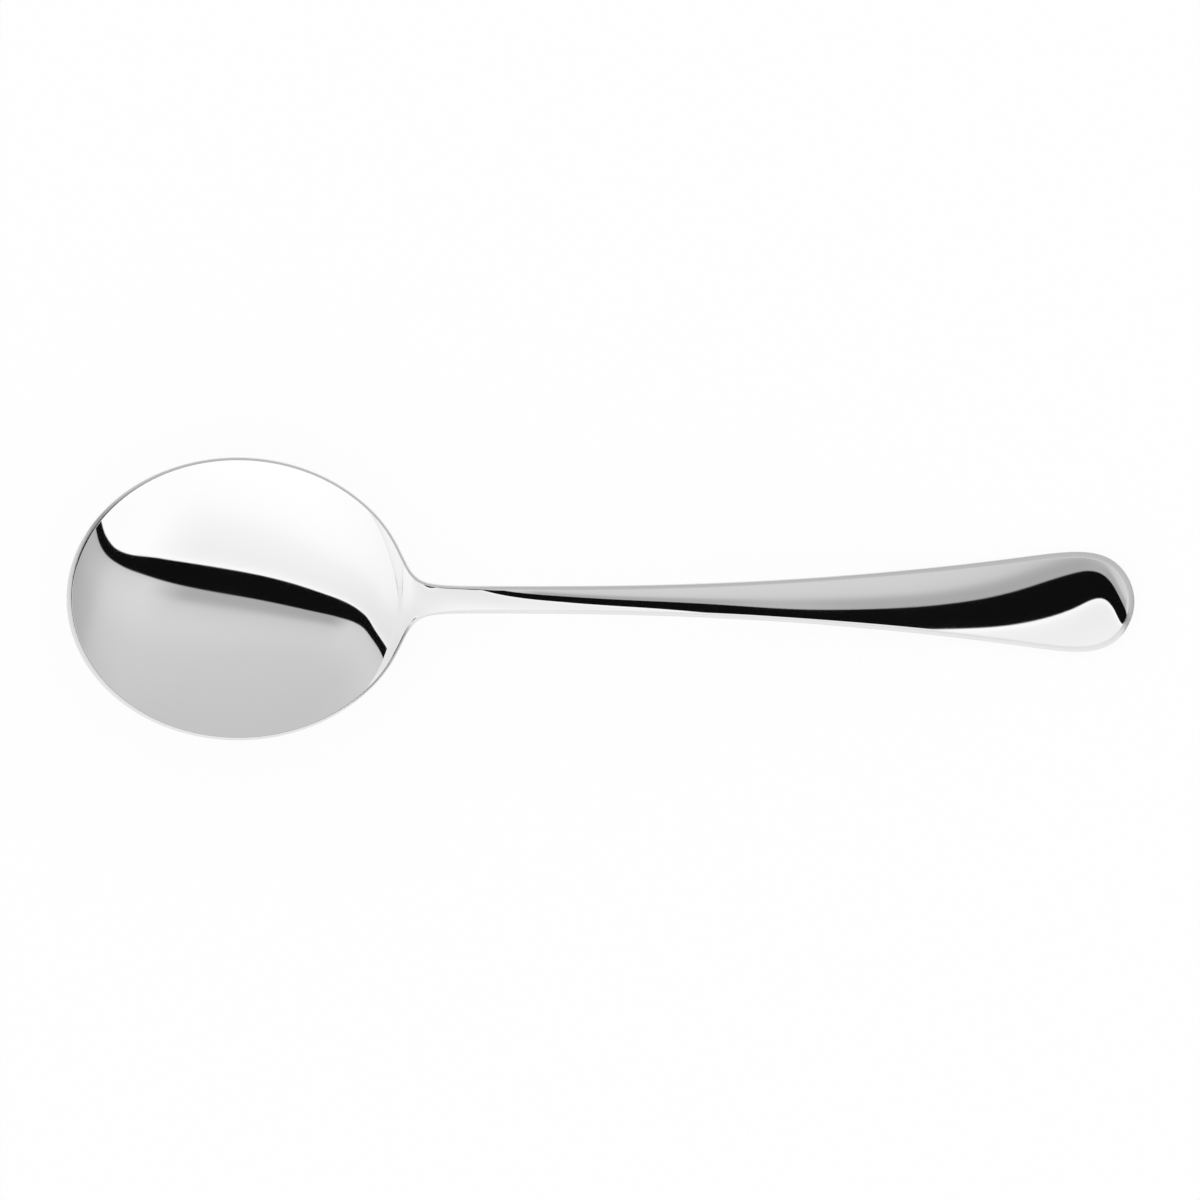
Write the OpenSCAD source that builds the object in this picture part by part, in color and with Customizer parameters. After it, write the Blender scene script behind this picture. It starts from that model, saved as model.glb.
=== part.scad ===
// Round-bowl soup spoon, stamped and polished from one steel blank.
// It lies on the table on the bottom of its bowl and the end of its handle.
// X runs along the spoon from the bowl to the handle, and Z points up.

/* [Overall] */
// Length from the tip of the bowl to the end of the handle
spoon_l = 175; // [165:1:185]

/* [Bowl] */
// Length from the tip of the bowl to the neck
bowl_l = 56; // [52:0.5:60]
// Width across the rim
bowl_w = 46.3; // [42:0.1:50]
// Depth from the rim to the inside of the bottom
bowl_depth = 8.7; // [7.5:0.1:9.5]
// Height of the rim above the table
rim_h = 11.5; // [10.5:0.1:13]
// Thickness of the metal at the rim
rim_t = 1.4; // [1.1:0.1:1.8]
// Extra thickness of the metal at the bottom of the bowl
bowl_swell = 0.3; // [0.1:0.1:0.6]
// Width of the rounded land round the tip of the bowl
rim_land = 1.1; // [0.6:0.1:1.5]
// Width of the neck where the bowl ends
neck_w = 6.6; // [6:0.1:8]
// Height of the edge at the neck above the table
neck_h = 7.4; // [6.5:0.1:9]

/* [Stem] */
// Width of the stem at its narrowest
stem_w = 4.5; // [4:0.1:6]
// Height of the top of the arch above the table
stem_h = 13.5; // [12:0.1:15]
// Thickness of the metal at the sides of the stem
stem_side_t = 1.6; // [1.2:0.1:2]
// Extra thickness of the metal along the middle of the stem
stem_swell = 1.5; // [1:0.1:2]
// Height of the rounded top of the stem over its sides
stem_crown = 0.14; // [0.1:0.02:0.3]
// Width of the rounding along the sides of the stem
stem_land = 0.8; // [0.5:0.1:1]

/* [Handle] */
// Length of the wide end of the handle
handle_l = 51; // [46:0.5:56]
// Width across the wide end
handle_w = 16.6; // [14:0.1:20]
// Height of the edge of the wide end above the table
handle_h = 1.6; // [1.4:0.05:2]
// Height of the upturned end above the table
end_h = 3.2; // [2.8:0.1:4.5]
// Thickness of the metal at the edge of the wide end
handle_side_t = 1.3; // [1:0.1:1.8]
// Extra thickness of the metal along the middle of the wide end
handle_swell = 0.7; // [0.4:0.1:1]
// Height of the rounded top of the wide end over its edge
handle_crown = 0.6; // [0.4:0.05:0.9]
// Width of the rounding along the edge of the wide end
handle_land = 1.1; // [0.8:0.1:1.5]

/* [Hidden] */

// Length of the slim stem between the neck and the wide end
stem_l = spoon_l - bowl_l - handle_l;

// Counts: steps between two rows, steps across a face, and steps round an edge
row_steps = 6;
face_steps = 18;
edge_steps = 6;

// Share of the edge thickness that lies above the outermost line of the edge
edge_top_share = 0.35;
// Share of the edge thickness that the slope of the underside may use up
edge_slope_share = 0.9;

// The bowl is an oval, with rows at even angles round it, and the blended surface lies inside
// its rows by a known share
bowl_rows = 5;
bowl_step = 180 / (bowl_rows + 1);
row_overshoot_share = 3 / (2 + cos(bowl_step));
// How steeply the hollow falls from the rim, and how far its deepest place leans to the neck
hollow_power = 1.5;
hollow_lean_share = 0.35;
// How much fuller than a parabola the bowl's section is at its tip, fading to the neck
bowl_fullness_share = 0.3;
// Share of the land that is left along the sides of the bowl
side_land_share = 0.45;

// The stem's rows lie closer together at the neck, and the handle's at the end
stem_rows = 6;
stem_spread_power = 1.5;
handle_rows = 5;
handle_spread_power = 2;
// The widest of the handle's rows, counted from its end
wide_row = 2;
// Share of the stem in which the neck turns into it
neck_share = 0.25;
// How the sides open from the stem to the wide end, and how the end is rounded
opening_power = 2.2;
wide_row_share = 1.06;
end_row_share = 0.82;

// The profile of the edge is level as far as this share of the bowl, is highest at this share
// of the stem, and lowest at this share of the handle from its end
level_share = 0.55;
arch_share = 0.3;
low_share = 0.25;
arch_x = bowl_l + arch_share * stem_l;
wide_x = spoon_l - pow(wide_row / handle_rows, handle_spread_power) * handle_l;

// Goes smoothly from 0 to 1, and from a to b
function ease(t) = (1 - cos(180 * min(max(t, 0), 1))) / 2;
function mix(a, b, t) = a + (b - a) * t;

// Height of the edge at place x, between the named heights
profile = [[0, rim_h], [level_share * bowl_l, rim_h], [bowl_l, neck_h], [arch_x, stem_h],
    [spoon_l - low_share * handle_l, handle_h], [spoon_l, end_h]];
function height_at(x, i = 0) = i < len(profile) - 2 && x > profile[i + 1][0] ?
    height_at(x, i + 1) :
    mix(profile[i][1], profile[i + 1][1],
        ease((x - profile[i][0]) / (profile[i + 1][0] - profile[i][0])));

// Half width of the stem and handle at place x
function half_width_at(x) =
    mix(stem_w, handle_w * wide_row_share, pow(max(x - arch_x, 0) / (wide_x - arch_x),
        opening_power)) / 2;

// Control rows: the place along the spoon, the half width, the height, thickness and rounding
// of the edge, the crown of the top (a hollow counts as less than zero), the extra thickness,
// and the fullness of the section
function bowl_row(a) = let (x = bowl_l / 2 * (1 - cos(a) * row_overshoot_share))
    [x, bowl_w / 2 * sin(a) * row_overshoot_share, height_at(x), rim_t,
    rim_land * max(cos(a), side_land_share),
    -bowl_depth * pow(sin(a), hollow_power) * (1 - hollow_lean_share * cos(a)),
    bowl_swell * sin(a), bowl_fullness_share * (1 + cos(a)) / 2];
function stem_row(k) =
    let (share = pow(k / stem_rows, stem_spread_power), x = bowl_l + share * stem_l,
        turned_share = ease(share / neck_share))
    [x, k == 0 ? neck_w / 2 : half_width_at(x), height_at(x), stem_side_t,
    mix(rim_land * side_land_share, stem_land, turned_share), stem_crown,
    mix(bowl_swell, stem_swell, turned_share), 0];
function handle_row(k) =
    let (share = pow(k / handle_rows, handle_spread_power), x = spoon_l - share * handle_l)
    [x, k == 1 ? handle_w / 2 * end_row_share : half_width_at(x), height_at(x),
    mix(handle_side_t, stem_side_t, share), mix(handle_land, stem_land, share),
    mix(handle_crown, stem_crown, share), mix(handle_swell, stem_swell, share), 0];

// The columns of a row
function along(row) = row[0];
function half_w(row) = row[1];
function edge_h(row) = row[2];
function edge_t(row) = row[3];
function land(row) = row[4];
function crown(row) = row[5];
function swell(row) = row[6];
function fullness(row) = row[7];

// The row at an end, which closes the surface there in a round tip
function end_row(next, tip, height) = [tip + (tip - along(next)) / 2, 0, height, edge_t(next),
    land(next), -crown(next) / 2, -swell(next) / 2, fullness(next)];

// A row mirrored past an end, which makes the surface cross it smoothly
function past_end(row) = [along(row), -half_w(row), edge_h(row), edge_t(row),
    land(row), crown(row), swell(row), fullness(row)];

middle_rows = concat(
    [for (k = [1 : bowl_rows]) bowl_row(k * bowl_step)],
    [for (k = [0 : stem_rows - 1]) stem_row(k)],
    [for (k = [handle_rows : -1 : 1]) handle_row(k)]);
last = len(middle_rows) - 1;
rows = concat(
    [past_end(middle_rows[0])],
    [end_row(middle_rows[0], 0, rim_h)],
    middle_rows,
    [end_row(middle_rows[last], spoon_l, end_h)],
    [past_end(middle_rows[last])]);

// Every stretch of the surface blends four rows, and a station is one section of it
blend_rows = 4;
stretches = len(rows) - blend_rows + 1;
stations = stretches * row_steps;

// Smooth cubic blend of four rows, and its rate of change, at place s
function blend(s) = let (i = min(floor(s), stretches - 1), t = s - i)
    (rows[i] * pow(1 - t, 3) + rows[i + 1] * (3 * pow(t, 3) - 6 * pow(t, 2) + 4)
    + rows[i + 2] * (-3 * pow(t, 3) + 3 * pow(t, 2) + 3 * t + 1) + rows[i + 3] * pow(t, 3)) / 6;
function blend_rate(s) = let (i = min(floor(s), stretches - 1), t = s - i)
    (-rows[i] * pow(1 - t, 2) + rows[i + 1] * (3 * pow(t, 2) - 4 * t)
    + rows[i + 2] * (-3 * pow(t, 2) + 2 * t + 1) + rows[i + 3] * pow(t, 2)) / 2;

// How fast the outline runs at a rate of change
function outline_rate(rate) = norm([along(rate), half_w(rate)]);

// Slope of a face where it meets the edge, going straight outwards
function edge_slope(rise, inner_w, full, edge_rate, rate) = let (length = outline_rate(rate))
    (-rise * (2 + 2 * full) / inner_w * length - edge_rate * half_w(rate) / length) / along(rate);

// Everything that one station needs: the blended row, the unit vector that points out of
// the outline, the inner edge, and the slopes of the two faces at that edge, which are
// taken a little way in from the ends, where the outline turns square to the spoon
slope_from = 0.02;
function station(k) =
    let (s = k / row_steps, v = blend(s), rate = blend_rate(s),
        out = [-half_w(rate), along(rate)] / outline_rate(rate),
        inner = [along(v), half_w(v)] - out * land(v),
        near = min(max(s, slope_from), stretches - slope_from),
        nv = blend(near), nrate = blend_rate(near),
        inner_w = half_w(nv) - along(nrate) / outline_rate(nrate) * land(nv),
        top = edge_slope(crown(nv), inner_w, fullness(nv), edge_h(nrate), nrate),
        under = edge_slope(crown(nv) - swell(nv), inner_w, fullness(nv),
            edge_h(nrate) - edge_t(nrate), nrate),
        drop = edge_t(v) * (1 - edge_top_share))
    [v, out, inner, min(top, 0), min(max(under, 0), edge_slope_share * drop / land(v))];

// Share of the crown or hollow that is left at place t across a face
function fall(t, full) = 1 - (1 - full) * pow(t, 2) - full * pow(t, 4);

// A point of the top face and of the underside, at place t from -1 to 1
function top_point(st, t) = let (v = st[0])
    [st[2][0], st[2][1] * t, edge_h(v) + crown(v) * fall(t, fullness(v))];
function under_point(st, t) = let (v = st[0])
    [st[2][0], st[2][1] * t,
    edge_h(v) - edge_t(v) + (crown(v) - swell(v)) * fall(t, fullness(v))];

// A point of the rounded edge: step a of edge_steps, on the side +1 or -1
function edge_point(st, a, side) =
    let (v = st[0], upper = a <= edge_steps / 2,
        turn = 180 / edge_steps * (upper ? a : edge_steps - a),
        reach = land(v) * sin(turn),
        slope = upper ? st[3] : st[4],
        from = upper ? edge_h(v) : edge_h(v) - edge_t(v),
        outermost = edge_h(v) - edge_t(v) * edge_top_share,
        z = from + slope * reach + (outermost - from - slope * land(v)) * (1 - cos(turn)))
    [st[2][0] + st[1][0] * reach, side * (st[2][1] + st[1][1] * reach), z];

// One closed ring of points round the section at a station
ring_size = 2 * (face_steps + edge_steps);
function ring_point(st, r) =
    r <= face_steps ? top_point(st, 2 * r / face_steps - 1) :
    r < face_steps + edge_steps ? edge_point(st, r - face_steps, 1) :
    r <= 2 * face_steps + edge_steps ?
        under_point(st, 1 - 2 * (r - face_steps - edge_steps) / face_steps) :
    edge_point(st, ring_size - r, -1);

// At the two ends the ring closes to a single line of edge points
function end_step(r) =
    r <= face_steps ? 0 :
    r < face_steps + edge_steps ? r - face_steps :
    r <= 2 * face_steps + edge_steps ? edge_steps :
    ring_size - r;
end_size = edge_steps + 1;
end_start = end_size + (stations - 1) * ring_size;
function index(k, r) = let (w = r % ring_size)
    k == 0 ? end_step(w) :
    k == stations ? end_start + end_step(w) :
    end_size + (k - 1) * ring_size + w;

all_stations = [for (k = [0 : stations]) station(k)];
flat_points = concat(
    [for (a = [0 : edge_steps]) edge_point(all_stations[0], a, 1)],
    [for (k = [1 : stations - 1]) for (r = [0 : ring_size - 1]) ring_point(all_stations[k], r)],
    [for (a = [0 : edge_steps]) edge_point(all_stations[stations], a, 1)]);

faces = [for (k = [0 : stations - 1]) for (r = [0 : ring_size - 1])
    let (a = index(k, r), b = index(k, r + 1), c = index(k + 1, r + 1), d = index(k + 1, r))
    each [if (a != b && b != c) [a, b, c], if (a != d && d != c) [a, c, d]]];

// How the spoon settles: the line that touches the bowl and the handle from below
under_line = [for (st = all_stations) under_point(st, 0)];
arch_station = stations / 2;
rest_slope = max([for (i = [0 : arch_station - 1])
    min([for (j = [arch_station : stations])
        (under_line[j][2] - under_line[i][2]) / (under_line[j][0] - under_line[i][0])])]);
rest_turn = atan(rest_slope);
turned = [for (p = flat_points) [
    p[0] * cos(rest_turn) + p[2] * sin(rest_turn),
    p[1],
    p[2] * cos(rest_turn) - p[0] * sin(rest_turn)]];
middle_x = (min([for (p = turned) p[0]]) + max([for (p = turned) p[0]])) / 2;
lowest_z = min([for (p = turned) p[2]]);

// The whole spoon: bowl, neck, stem and handle in one piece of metal
module spoon() {
    color("silver")
        translate([-middle_x, 0, -lowest_z])
            polyhedron(points = turned, faces = faces, convexity = 4);
}

spoon();
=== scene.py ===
import bpy
import math
import numpy as np
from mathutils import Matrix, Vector


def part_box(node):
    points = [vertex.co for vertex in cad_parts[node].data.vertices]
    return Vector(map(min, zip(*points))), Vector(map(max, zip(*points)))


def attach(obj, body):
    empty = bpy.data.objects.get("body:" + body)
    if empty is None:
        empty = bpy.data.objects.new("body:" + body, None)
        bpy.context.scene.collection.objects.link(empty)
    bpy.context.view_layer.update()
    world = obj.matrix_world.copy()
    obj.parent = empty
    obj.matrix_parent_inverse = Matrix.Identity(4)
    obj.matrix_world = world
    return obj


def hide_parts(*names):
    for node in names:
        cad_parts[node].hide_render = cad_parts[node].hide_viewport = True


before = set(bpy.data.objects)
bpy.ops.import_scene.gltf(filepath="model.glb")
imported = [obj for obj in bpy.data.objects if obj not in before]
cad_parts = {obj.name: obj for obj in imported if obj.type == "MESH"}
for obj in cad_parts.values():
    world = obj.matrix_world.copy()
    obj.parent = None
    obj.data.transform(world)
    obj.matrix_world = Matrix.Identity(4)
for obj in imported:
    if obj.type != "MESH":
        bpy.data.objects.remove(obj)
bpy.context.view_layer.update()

MM = 0.001
NODE = "spoon"

# Driving sizes of the spoon, in millimetres
SPOON_L = 175.0
BOWL_L = 56.0
BOWL_W = 46.3
BOWL_DEPTH = 8.7
RIM_H = 11.5
RIM_T = 1.4
BOWL_SWELL = 0.3
RIM_LAND = 1.1
NECK_W = 6.6
NECK_H = 7.4
STEM_W = 4.5
STEM_H = 13.5
STEM_SIDE_T = 1.6
STEM_SWELL = 1.5
STEM_CROWN = 0.14
STEM_LAND = 0.8
HANDLE_L = 51.0
HANDLE_W = 16.6
HANDLE_H = 1.6
END_H = 3.2
HANDLE_SIDE_T = 1.3
HANDLE_SWELL = 0.7
HANDLE_CROWN = 0.6
HANDLE_LAND = 1.1
STEM_L = SPOON_L - BOWL_L - HANDLE_L

# The same design as the CAD: an oval bowl, a stem that opens towards the end, and a profile
# that runs between named heights
BOWL_ROWS = 5
BOWL_STEP = math.pi / (BOWL_ROWS + 1)
ROW_OVERSHOOT_SHARE = 3 / (2 + math.cos(BOWL_STEP))
HOLLOW_POWER = 1.5
HOLLOW_LEAN_SHARE = 0.35
BOWL_FULLNESS_SHARE = 0.3
SIDE_LAND_SHARE = 0.45
STEM_ROWS = 6
STEM_SPREAD_POWER = 1.5
HANDLE_ROWS = 5
HANDLE_SPREAD_POWER = 2
WIDE_ROW = 2
NECK_SHARE = 0.25
OPENING_POWER = 2.2
WIDE_ROW_SHARE = 1.06
END_ROW_SHARE = 0.82
LEVEL_SHARE = 0.55
ARCH_SHARE = 0.3
LOW_SHARE = 0.25
ARCH_X = BOWL_L + ARCH_SHARE * STEM_L
WIDE_X = SPOON_L - (WIDE_ROW / HANDLE_ROWS) ** HANDLE_SPREAD_POWER * HANDLE_L
PROFILE = [(0, RIM_H), (LEVEL_SHARE * BOWL_L, RIM_H), (BOWL_L, NECK_H), (ARCH_X, STEM_H),
           (SPOON_L - LOW_SHARE * HANDLE_L, HANDLE_H), (SPOON_L, END_H)]
EDGE_TOP_SHARE = 0.35
EDGE_SLOPE_SHARE = 0.9
# The slope next to the edge is taken this far along from an end, where it can't be worked out
SLOPE_FROM = 0.02
# Columns of a control row: its place along the spoon, half width, height and thickness of the
# edge, width of the rounded edge, how far the top face rises in the middle (below 0 in the
# bowl), how much thicker the middle is, and how much fuller than a parabola the section is
ALONG, HALF_W, EDGE_H, EDGE_T, LAND, CROWN, SWELL, FULL = range(8)

# Look of the steel: a mirror with faint clouding, and fine polishing lines along the spoon
STEEL_COLOR = (0.973, 0.972, 0.98, 1)
STEEL_ROUGHNESS = (0.02, 0.045)
CLOUD_SCALE = 60
CLOUD_DETAIL = 3
CLOUD_RANGE = (0.35, 0.75)
LINE_SCALE = 900
LINE_STRETCH = (1, 14, 14)
LINE_DETAIL = 4
LINE_STRENGTH = 0.012
LINE_DEPTH = 0.02
# The rim is duller and a little darker than the faces
RIM_COLOR = (0.8, 0.8, 0.81, 1)
RIM_ROUGHNESS = 0.25
RIM_FINISH_START = (0, 0.35)
RIM_ATTRIBUTE = "rim"

# The studio, by direction: each edge of the dark gap is a curve through a few places along the
# gap and across it, and each side has its levels by the distance from its edge. These lists
# began as measurements of the photograph, and were then thinned, rounded and adjusted
STUDIO_TURN = math.radians(18)
GAP_GREY_EDGE = [(-1, -0.35), (-0.85, -0.35), (-0.5, -0.2), (-0.25, -0.15), (0, -0.12),
                 (0.3, -0.05), (0.5, 0), (0.65, 0.05), (0.8, 0.15), (1, 0.4)]
GAP_WHITE_EDGE = [(-1, -0.25), (-0.85, -0.25), (-0.5, -0.05), (-0.25, 0.05), (0, 0.1), (0.3, 0.15),
                  (0.5, 0.15), (0.65, 0.15), (0.8, 0.25), (1, 0.5)]
EDGE_BLUR = 0.005
GAP_LEVEL = 0.004
GREY_LEVELS = [(-1, 0.6), (0, 0.6), (0.05, 0.65), (0.5, 0.6), (1.3, 0.5)]
GREY_SHADED_LEVELS = [(-1, 0.4), (0, 0.4), (0.05, 0.4), (0.15, 0.6), (0.5, 0.6), (1.3, 0.5)]
SHADE_START = (-0.45, -0.2)
SHADE_END = (0.5, 0.35)
WHITE_LEVELS = [(-1, 1), (0, 1), (0.05, 0.9), (0.25, 0.9), (0.6, 1), (1.3, 1)]
WHITE_FULL = 1.0
BRIGHT_START = (0.4, 0.6)
# How both sides change along the gap
WHITE_ALONG = [(-1, 0.9), (-0.5, 0.95), (0, 1), (1, 1)]
GREY_ALONG = [(-1, 0.95), (0, 1), (0.6, 1), (0.8, 0.8), (1, 0.7)]

# The floor, with its width in lengths of the spoon. It glows in the picture and in the steel,
# and keeps these shares of its shading
FLOOR_SPAN = 40
FLOOR_COLOR = (0.95, 0.95, 0.95, 1)
FLOOR_ROUGHNESS = 0.9
FLOOR_SPECULAR = 0.1
FLOOR_GLOW = 1.0
FLOOR_SHADED_SHARE = 0.1
REFLECTED_SHADED_SHARE = 0.6

# The photograph's frame: its width in pixels, and the spoon's two ends and middle line there.
# The camera's height is in metres
PHOTO_PX = 1200
TIP_PX = 66.5
END_PX = 1134.5
MIDDLE_PX = 600
CAMERA_ROLL = math.radians(0.2)
CAMERA_HEIGHT = 2.2
SENSOR_MM = 36

# Fineness of the visible surface: steps from row to row, across a face and round the edge
ROW_STEPS = 24
FACE_STEPS = 56
EDGE_STEPS = 16


def ease(t):
    """Goes smoothly from 0 to 1."""
    return (1 - math.cos(math.pi * min(max(t, 0), 1))) / 2


def mix(a, b, t):
    """a where t is 0, and b where it is 1."""
    return a + (b - a) * t


def height_at(x):
    """Height of the edge at place x, between the heights of PROFILE."""
    for (x0, z0), (x1, z1) in zip(PROFILE, PROFILE[1:]):
        if x <= x1:
            break
    return mix(z0, z1, ease((x - x0) / (x1 - x0)))


def half_width_at(x):
    """Half width of the stem and handle at place x."""
    opened = (max(x - ARCH_X, 0) / (WIDE_X - ARCH_X)) ** OPENING_POWER
    return mix(STEM_W, HANDLE_W * WIDE_ROW_SHARE, opened) / 2


def bowl_row(k):
    """Row k of the bowl, at an even step of angle round its oval, counted from the tip."""
    a = k * BOWL_STEP
    x = BOWL_L / 2 * (1 - math.cos(a) * ROW_OVERSHOOT_SHARE)
    hollow = BOWL_DEPTH * math.sin(a) ** HOLLOW_POWER * (1 - HOLLOW_LEAN_SHARE * math.cos(a))
    return [x, BOWL_W / 2 * math.sin(a) * ROW_OVERSHOOT_SHARE, height_at(x), RIM_T,
            RIM_LAND * max(math.cos(a), SIDE_LAND_SHARE), -hollow, BOWL_SWELL * math.sin(a),
            BOWL_FULLNESS_SHARE * (1 + math.cos(a)) / 2]


def stem_row(k):
    """Row k of the stem, counted from the neck, near which the rows lie closer."""
    share = (k / STEM_ROWS) ** STEM_SPREAD_POWER
    x = BOWL_L + share * STEM_L
    turned = ease(share / NECK_SHARE)
    return [x, NECK_W / 2 if k == 0 else half_width_at(x), height_at(x), STEM_SIDE_T,
            mix(RIM_LAND * SIDE_LAND_SHARE, STEM_LAND, turned), STEM_CROWN,
            mix(BOWL_SWELL, STEM_SWELL, turned), 0]


def handle_row(k):
    """Row k of the wide end, counted from the end, near which the rows lie closer."""
    share = (k / HANDLE_ROWS) ** HANDLE_SPREAD_POWER
    x = SPOON_L - share * HANDLE_L
    half = HANDLE_W / 2 * END_ROW_SHARE if k == 1 else half_width_at(x)
    return [x, half, height_at(x), mix(HANDLE_SIDE_T, STEM_SIDE_T, share),
            mix(HANDLE_LAND, STEM_LAND, share), mix(HANDLE_CROWN, STEM_CROWN, share),
            mix(HANDLE_SWELL, STEM_SWELL, share), 0]


def end_row(following, tip, height):
    """The row at an end, which closes the surface in a round tip."""
    row = following.copy()
    row[ALONG] = tip + (tip - following[ALONG]) / 2
    row[HALF_W] = 0
    row[EDGE_H] = height
    row[CROWN] = -following[CROWN] / 2
    row[SWELL] = -following[SWELL] / 2
    return row


def past_end(row):
    """A row mirrored past an end, so that the surface crosses it smoothly."""
    mirrored = row.copy()
    mirrored[HALF_W] *= -1
    return mirrored


def control_rows():
    """All the rows from tip to end, with a closing row and a mirrored one past each end."""
    middle = np.array(
        [bowl_row(k) for k in range(1, BOWL_ROWS + 1)]
        + [stem_row(k) for k in range(STEM_ROWS)]
        + [handle_row(k) for k in range(HANDLE_ROWS, 0, -1)], float)
    return np.vstack([
        past_end(middle[0]),
        end_row(middle[0], 0, RIM_H),
        middle,
        end_row(middle[-1], SPOON_L, END_H),
        past_end(middle[-1]),
    ])


ROWS = control_rows()
ROW_GAPS = len(ROWS) - 3


def blend(s):
    """Smooth cubic blend of the four rows round place s."""
    i = min(int(s), ROW_GAPS - 1)
    t = s - i
    weights = [(1 - t) ** 3, 3 * t**3 - 6 * t**2 + 4, -3 * t**3 + 3 * t**2 + 3 * t + 1, t**3]
    return np.dot(weights, ROWS[i:i + 4]) / 6


def blend_rate(s):
    """Rate of change of blend(s)."""
    i = min(int(s), ROW_GAPS - 1)
    t = s - i
    weights = [-(1 - t) ** 2, 3 * t**2 - 4 * t, -3 * t**2 + 2 * t + 1, t**2]
    return np.dot(weights, ROWS[i:i + 4]) / 2


def edge_slope(rise, half, fullness, edge_rate, rate):
    """Slope of a face where it meets the edge, going straight outwards."""
    length = math.hypot(rate[ALONG], rate[HALF_W])
    across = -rise * (2 + 2 * fullness) / half * length
    return (across - edge_rate * rate[HALF_W] / length) / rate[ALONG]


def station(s):
    """The blended row, the direction out of the outline, the inner edge, and the slopes there."""
    v, rate = blend(s), blend_rate(s)
    length = math.hypot(rate[ALONG], rate[HALF_W])
    out = np.array([-rate[HALF_W], rate[ALONG]]) / length
    inner = v[[ALONG, HALF_W]] - out * v[LAND]
    near = min(max(s, SLOPE_FROM), ROW_GAPS - SLOPE_FROM)
    nv, nrate = blend(near), blend_rate(near)
    nhalf = nv[HALF_W] - nrate[ALONG] / math.hypot(nrate[ALONG], nrate[HALF_W]) * nv[LAND]
    top = edge_slope(nv[CROWN], nhalf, nv[FULL], nrate[EDGE_H], nrate)
    under = edge_slope(nv[CROWN] - nv[SWELL], nhalf, nv[FULL],
                       nrate[EDGE_H] - nrate[EDGE_T], nrate)
    drop = v[EDGE_T] * (1 - EDGE_TOP_SHARE)
    return v, out, inner, min(top, 0), min(max(under, 0), EDGE_SLOPE_SHARE * drop / v[LAND])


def face_points(st, t, underside):
    """Points across one face of a station, at places t from -1 to 1."""
    v, _, inner, _, _ = st
    rise = v[CROWN] - v[SWELL] if underside else v[CROWN]
    base = v[EDGE_H] - v[EDGE_T] if underside else v[EDGE_H]
    z = base + rise * (1 - (1 - v[FULL]) * t**2 - v[FULL] * t**4)
    return np.column_stack([np.full_like(t, inner[0]), inner[1] * t, z])


def edge_points(st, side):
    """Points round the edge of a station, from the top face to the underside."""
    v, out, inner, top, under = st
    points = []
    for a in range(EDGE_STEPS + 1):
        upper = a <= EDGE_STEPS / 2
        turn = math.pi / EDGE_STEPS * (a if upper else EDGE_STEPS - a)
        reach = v[LAND] * math.sin(turn)
        slope = top if upper else under
        start = v[EDGE_H] if upper else v[EDGE_H] - v[EDGE_T]
        outermost = v[EDGE_H] - v[EDGE_T] * EDGE_TOP_SHARE
        z = start + slope * reach + (outermost - start - slope * v[LAND]) * (1 - math.cos(turn))
        points.append([inner[0] + out[0] * reach, side * (inner[1] + out[1] * reach), z])
    return np.array(points)


def ring(st):
    """One closed ring of points round the section at a station."""
    across = np.sin(np.linspace(-math.pi / 2, math.pi / 2, FACE_STEPS + 1))
    return np.vstack([
        face_points(st, across, False),
        edge_points(st, 1)[1:-1],
        face_points(st, -across, True),
        edge_points(st, -1)[-2:0:-1],
    ])


def spoon_mesh():
    """Points in millimetres, faces and rim shares of the spoon, closed to a line at both ends."""
    count = ROW_GAPS * ROW_STEPS
    size = 2 * (FACE_STEPS + EDGE_STEPS)
    first = edge_points(station(0), 1)
    last = edge_points(station(ROW_GAPS), 1)
    rings = [ring(station(k / ROW_STEPS)) for k in range(1, count)]
    points = np.vstack([first] + rings + [last])

    def end_step(r):
        """The step round the edge that place r of a ring closes to at an end."""
        if r <= FACE_STEPS:
            return 0
        if r < FACE_STEPS + EDGE_STEPS:
            return r - FACE_STEPS
        if r <= 2 * FACE_STEPS + EDGE_STEPS:
            return EDGE_STEPS
        return size - r

    def index(k, r):
        """The number of the point at place r of ring k."""
        r %= size
        if k == 0:
            return end_step(r)
        if k == count:
            return len(points) - len(last) + end_step(r)
        return len(first) + (k - 1) * size + r

    faces = []
    for k in range(count):
        for r in range(size):
            corners = [index(k, r), index(k + 1, r), index(k + 1, r + 1), index(k, r + 1)]
            kept = [c for i, c in enumerate(corners) if c != corners[i - 1]]
            faces.append(kept)
    return points, faces, rim_shares(count)


def rim_shares(count):
    """How far out on the rim each point lies: 0 on the faces, 1 at the outermost."""
    rim = np.sin(np.linspace(0, math.pi, EDGE_STEPS + 1))
    face = np.zeros(FACE_STEPS + 1)
    section = np.concatenate([face, rim[1:-1], face, rim[1:-1]])
    return np.concatenate([rim, np.tile(section, count - 1), rim])


def settle(points):
    """Turns the points so that bowl and handle touch the table, and scales them to the CAD box."""
    under = np.array([face_points(station(k / ROW_STEPS), np.zeros(1), True)[0]
                      for k in range(ROW_GAPS * ROW_STEPS + 1)])
    half = len(under) // 2
    bowl, handle = under[:half], under[half:]
    slopes = (handle[None, :, 2] - bowl[:, None, 2]) / (handle[None, :, 0] - bowl[:, None, 0])
    turn = math.atan(slopes.min(1).max())
    x = points[:, 0] * math.cos(turn) + points[:, 2] * math.sin(turn)
    z = points[:, 2] * math.cos(turn) - points[:, 0] * math.sin(turn)
    turned = np.column_stack([x, points[:, 1], z]) * MM
    low, high = turned.min(0), turned.max(0)
    cad_low, cad_high = (np.array(corner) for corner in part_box(NODE))
    return (turned - low) / (high - low) * (cad_high - cad_low) + cad_low


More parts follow.
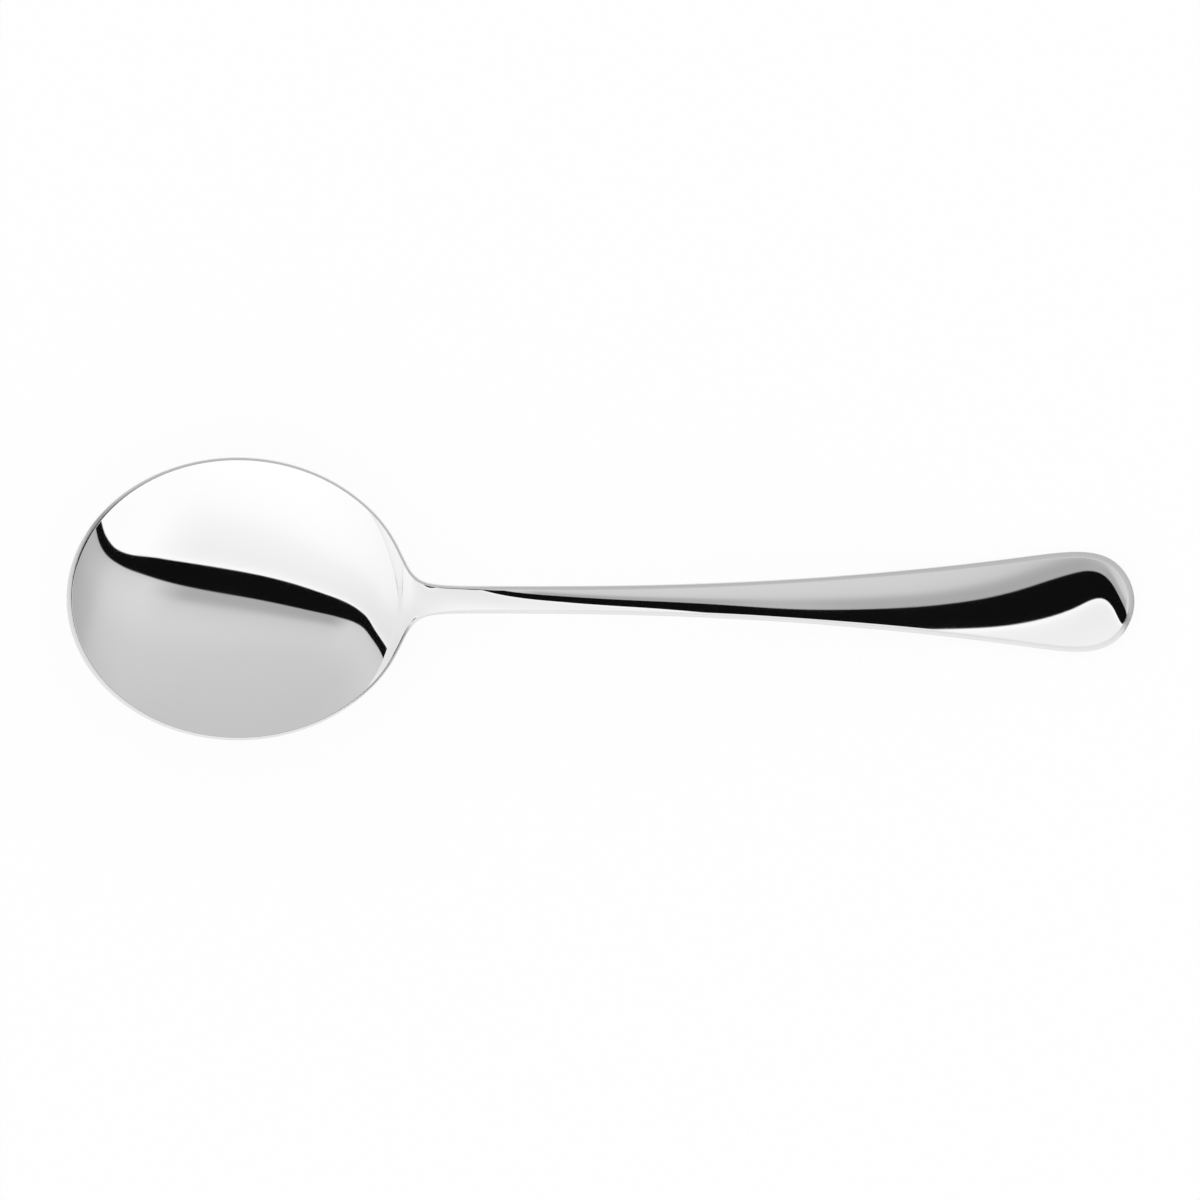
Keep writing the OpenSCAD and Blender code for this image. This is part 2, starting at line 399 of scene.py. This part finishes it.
def math_node(tree, operation, *values):
    """A math node whose inputs are numbers or sockets; returns its output."""
    node = tree.nodes.new("ShaderNodeMath")
    node.operation = operation
    for socket, value in zip(node.inputs, values):
        plug(tree, socket, value)
    return node.outputs[0]


def plug(tree, socket, value):
    """Links a socket to value, or sets it where value is a number."""
    if isinstance(value, bpy.types.NodeSocket):
        tree.links.new(value, socket)
    else:
        socket.default_value = value


def smooth_step(tree, value, low, high):
    """0 below low, 1 above high, smooth between."""
    node = tree.nodes.new("ShaderNodeMapRange")
    node.interpolation_type = "SMOOTHSTEP"
    for name, given in (("Value", value), ("From Min", low), ("From Max", high)):
        plug(tree, node.inputs[name], given)
    return node.outputs["Result"]


def curve(tree, value, points):
    """A smooth curve through a few points, each a place and the height there."""
    node = tree.nodes.new("ShaderNodeFloatCurve")
    node.mapping.use_clip = False
    line = node.mapping.curves[0].points
    while len(line) < len(points):
        line.new(0, 0)
    for knot, place in zip(line, points):
        knot.location = place
    node.mapping.update()
    plug(tree, node.inputs["Value"], value)
    return node.outputs["Value"]


def mix_value(tree, factor, a, b):
    """a where factor is 0, and b where it is 1."""
    node = tree.nodes.new("ShaderNodeMix")
    node.data_type = "FLOAT"
    for name, value in (("Factor", factor), ("A", a), ("B", b)):
        plug(tree, node.inputs[name], value)
    return node.outputs["Result"]


def polished_steel():
    """Mirror-polished stainless steel with faint polishing lines and clouding."""
    material = bpy.data.materials.new("polished_steel")
    material.use_nodes = True
    tree = material.node_tree
    shader = tree.nodes["Principled BSDF"]
    shader.inputs["Metallic"].default_value = 1.0
    place = tree.nodes.new("ShaderNodeTexCoord").outputs["Object"]
    clouds = tree.nodes.new("ShaderNodeTexNoise")
    clouds.inputs["Scale"].default_value = CLOUD_SCALE
    clouds.inputs["Detail"].default_value = CLOUD_DETAIL
    tree.links.new(place, clouds.inputs["Vector"])
    rough = tree.nodes.new("ShaderNodeMapRange")
    rough.inputs["From Min"].default_value = CLOUD_RANGE[0]
    rough.inputs["From Max"].default_value = CLOUD_RANGE[1]
    rough.inputs["To Min"].default_value = STEEL_ROUGHNESS[0]
    rough.inputs["To Max"].default_value = STEEL_ROUGHNESS[1]
    tree.links.new(clouds.outputs["Fac"], rough.inputs["Value"])
    rim = tree.nodes.new("ShaderNodeAttribute")
    rim.attribute_name = RIM_ATTRIBUTE
    on_rim = smooth_step(tree, rim.outputs["Fac"], *RIM_FINISH_START)
    roughness = mix_value(tree, on_rim, rough.outputs["Result"], RIM_ROUGHNESS)
    tree.links.new(roughness, shader.inputs["Roughness"])
    color = tree.nodes.new("ShaderNodeMix")
    color.data_type = "RGBA"
    tree.links.new(on_rim, color.inputs["Factor"])
    color.inputs["A"].default_value = STEEL_COLOR
    color.inputs["B"].default_value = RIM_COLOR
    tree.links.new(color.outputs["Result"], shader.inputs["Base Color"])
    stretch = tree.nodes.new("ShaderNodeMapping")
    stretch.inputs["Scale"].default_value = LINE_STRETCH
    lines = tree.nodes.new("ShaderNodeTexNoise")
    lines.inputs["Scale"].default_value = LINE_SCALE
    lines.inputs["Detail"].default_value = LINE_DETAIL
    bump = tree.nodes.new("ShaderNodeBump")
    bump.inputs["Strength"].default_value = LINE_STRENGTH
    bump.inputs["Distance"].default_value = LINE_DEPTH * MM
    tree.links.new(place, stretch.inputs["Vector"])
    tree.links.new(stretch.outputs["Vector"], lines.inputs["Vector"])
    tree.links.new(lines.outputs["Fac"], bump.inputs["Height"])
    tree.links.new(bump.outputs["Normal"], shader.inputs["Normal"])
    return material


def build_spoon():
    """The visible spoon, which stands in for the CAD's."""
    points, faces, rims = spoon_mesh()
    mesh = bpy.data.meshes.new("polished_spoon")
    mesh.from_pydata(settle(points).tolist(), [], faces)
    mesh.attributes.new(RIM_ATTRIBUTE, "FLOAT", "POINT").data.foreach_set("value", rims)
    mesh.update()
    mesh.shade_smooth()
    piece = bpy.data.objects.new("polished_spoon", mesh)
    bpy.context.scene.collection.objects.link(piece)
    mesh.materials.append(polished_steel())
    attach(piece, "root")
    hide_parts(NODE)
    return piece


def floor_glow(tree):
    """How much of the floor's glow a ray sees: most from the camera, less in steel or glass.

    Other rays see none of it, so the glow lights nothing.
    """
    path = tree.nodes.new("ShaderNodeLightPath")
    seen = math_node(tree, "MULTIPLY", path.outputs["Is Camera Ray"], 1 - FLOOR_SHADED_SHARE)
    inside = math_node(tree, "MAXIMUM", path.outputs["Is Glossy Ray"],
                       path.outputs["Is Transmission Ray"])
    inside = math_node(tree, "MULTIPLY", inside, 1 - REFLECTED_SHADED_SHARE)
    return math_node(tree, "MAXIMUM", seen, inside)


def build_floor():
    """The plain pale floor that the spoon lies on."""
    bpy.ops.mesh.primitive_plane_add(size=FLOOR_SPAN * SPOON_L * MM)
    floor = bpy.context.object
    floor.name = "floor"
    material = bpy.data.materials.new("floor_white")
    material.use_nodes = True
    tree = material.node_tree
    base = tree.nodes["Principled BSDF"]
    base.inputs["Base Color"].default_value = FLOOR_COLOR
    base.inputs["Roughness"].default_value = FLOOR_ROUGHNESS
    base.inputs["Specular IOR Level"].default_value = FLOOR_SPECULAR
    glow = tree.nodes.new("ShaderNodeEmission")
    glow.inputs["Strength"].default_value = FLOOR_GLOW
    shown = tree.nodes.new("ShaderNodeMixShader")
    tree.links.new(floor_glow(tree), shown.inputs["Fac"])
    tree.links.new(base.outputs["BSDF"], shown.inputs[1])
    tree.links.new(glow.outputs["Emission"], shown.inputs[2])
    tree.links.new(shown.outputs["Shader"], tree.nodes["Material Output"].inputs["Surface"])
    floor.data.materials.append(material)


def build_world():
    """The studio: a white side and a grey side, with a dark gap between them.

    It is told apart by direction alone. One number runs across the gap and the other
    along it, and both are level directions turned by STUDIO_TURN.
    """
    world = bpy.data.worlds.new("studio")
    bpy.context.scene.world = world
    world.use_nodes = True
    tree = world.node_tree
    tree.nodes.clear()
    direction = tree.nodes.new("ShaderNodeTexCoord").outputs["Generated"]
    split = tree.nodes.new("ShaderNodeSeparateXYZ")
    tree.links.new(direction, split.inputs["Vector"])
    x, y = split.outputs["X"], split.outputs["Y"]
    c, s = math.cos(STUDIO_TURN), math.sin(STUDIO_TURN)
    across = math_node(tree, "MULTIPLY_ADD", x, -s, math_node(tree, "MULTIPLY", y, -c))
    along = math_node(tree, "MULTIPLY_ADD", x, c, math_node(tree, "MULTIPLY", y, -s))

    from_grey = math_node(tree, "SUBTRACT", curve(tree, along, GAP_GREY_EDGE), across)
    from_white = math_node(tree, "SUBTRACT", across, curve(tree, along, GAP_WHITE_EDGE))
    shaded = math_node(tree, "MULTIPLY", smooth_step(tree, along, *SHADE_START),
                       smooth_step(tree, along, *SHADE_END))
    grey = mix_value(tree, shaded, curve(tree, from_grey, GREY_LEVELS),
                     curve(tree, from_grey, GREY_SHADED_LEVELS))
    grey = math_node(tree, "MULTIPLY", grey, curve(tree, along, GREY_ALONG))
    white = mix_value(tree, smooth_step(tree, along, *BRIGHT_START),
                      curve(tree, from_white, WHITE_LEVELS), WHITE_FULL)
    white = math_node(tree, "MULTIPLY", white, curve(tree, along, WHITE_ALONG))
    is_grey = smooth_step(tree, from_grey, -EDGE_BLUR, EDGE_BLUR)
    is_white = smooth_step(tree, from_white, -EDGE_BLUR, EDGE_BLUR)
    level = mix_value(tree, is_grey, GAP_LEVEL, grey)
    level = mix_value(tree, is_white, level, white)

    path = tree.nodes.new("ShaderNodeLightPath")
    level = mix_value(tree, path.outputs["Is Glossy Ray"], 1.0, level)
    background = tree.nodes.new("ShaderNodeBackground")
    background.inputs["Color"].default_value = (1, 1, 1, 1)
    tree.links.new(level, background.inputs["Strength"])
    output = tree.nodes.new("ShaderNodeOutputWorld")
    tree.links.new(background.outputs["Background"], output.inputs["Surface"])


def build_camera(spoon):
    """A camera straight above, which sees the two ends where the photograph has them."""
    points = [vertex.co for vertex in spoon.data.vertices]
    tip = min(points, key=lambda co: co.x)
    end = max(points, key=lambda co: co.x)
    middle_px = PHOTO_PX / 2
    tip_reach = (TIP_PX - middle_px) * (CAMERA_HEIGHT - tip.z)
    end_reach = (END_PX - middle_px) * (CAMERA_HEIGHT - end.z)
    zoom = (end_reach - tip_reach) / (end.x - tip.x)
    middle_y = (MIDDLE_PX - middle_px) * CAMERA_HEIGHT / zoom
    data = bpy.data.cameras.new("camera")
    data.sensor_width = SENSOR_MM
    data.lens = SENSOR_MM * zoom / PHOTO_PX
    data.clip_end = 2 * CAMERA_HEIGHT
    camera = bpy.data.objects.new("camera", data)
    bpy.context.scene.collection.objects.link(camera)
    camera.location = Vector((tip.x - tip_reach / zoom, middle_y, CAMERA_HEIGHT))
    camera.rotation_euler = (0, 0, CAMERA_ROLL)
    bpy.context.scene.camera = camera


spoon = build_spoon()
build_floor()
build_world()
build_camera(spoon)
scene = bpy.context.scene
scene.view_settings.view_transform = "Standard"
